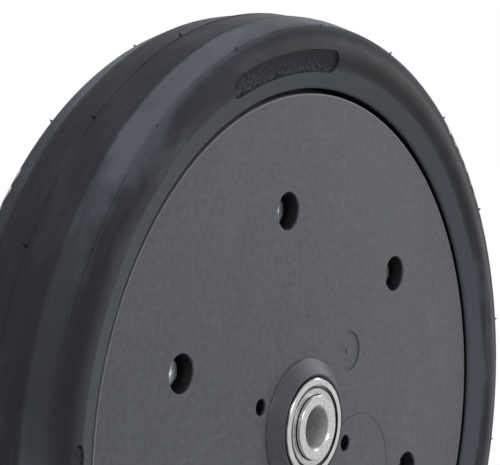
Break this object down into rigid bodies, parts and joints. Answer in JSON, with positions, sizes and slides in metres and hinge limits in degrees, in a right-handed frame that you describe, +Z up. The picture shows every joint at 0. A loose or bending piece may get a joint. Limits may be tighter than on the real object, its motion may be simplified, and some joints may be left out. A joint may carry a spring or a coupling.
{
  "type": "press wheel",
  "caption": "Press wheel of a seed drill: a hollow rubber tyre clamped between bolted plastic rim halves, turning on ball bearings on a spacer sleeve.",
  "frame": {"origin": "centre of the wheel, on the axle's axis and midway between the two rim faces", "axes": "+Y along the axle, away from the face that is seen in use; +Z up; +X to the right as that face is seen"},
  "size_m": [0.33, 0.057, 0.33],
  "materials": {
    "tyre": "smooth moulded black rubber, slightly dusty",
    "rim": "dark grey moulded plastic with a fine grain",
    "fastener": "bright zinc plate",
    "sleeve": "turned steel tube",
    "bearing_ring": "ground bearing steel",
    "shield": "pressed bright steel sheet",
    "ball": "polished bearing steel",
    "cage": "pressed steel strip"
  },
  "bodies": {
    "axle_set": {"near_bearing_inner_ring": "bearing_ring", "far_bearing_inner_ring": "bearing_ring", "spacer_sleeve": "sleeve"},
    "wheel": {"tyre": "tyre", "near_rim_half": "rim", "far_rim_half": "rim", "clamp_bolts": "fastener", "head_washers": "fastener", "nut_washers": "fastener", "clamp_nuts": "fastener", "near_bearing_outer_ring": "bearing_ring", "near_bearing_outer_shield": "shield", "near_bearing_inner_shield": "shield", "far_bearing_outer_ring": "bearing_ring", "far_bearing_outer_shield": "shield", "far_bearing_inner_shield": "shield"},
    "near_ball_set": {"near_bearing_balls": "ball", "near_bearing_cage_front": "cage", "near_bearing_cage_back": "cage", "near_bearing_cage_rivets": "cage"},
    "far_ball_set": {"far_bearing_balls": "ball", "far_bearing_cage_front": "cage", "far_bearing_cage_back": "cage", "far_bearing_cage_rivets": "cage"}
  },
  "joints": [
    {"name": "wheel_spin", "type": "hinge", "parent": "axle_set", "child": "wheel", "pos_m": [0, 0, 0], "axis": [0, 1, 0], "continuous": true},
    {"name": "near_ball_set_roll", "type": "hinge", "parent": "axle_set", "child": "near_ball_set", "pos_m": [0, -0.021, 0], "axis": [0, 1, 0], "continuous": true},
    {"name": "far_ball_set_roll", "type": "hinge", "parent": "axle_set", "child": "far_ball_set", "pos_m": [0, 0.021, 0], "axis": [0, 1, 0], "continuous": true}
  ],
  "couplings": [
    {"joint": "near_ball_set_roll", "follows": "wheel_spin", "ratio": 0.6184},
    {"joint": "far_ball_set_roll", "follows": "wheel_spin", "ratio": 0.6184}
  ]
}
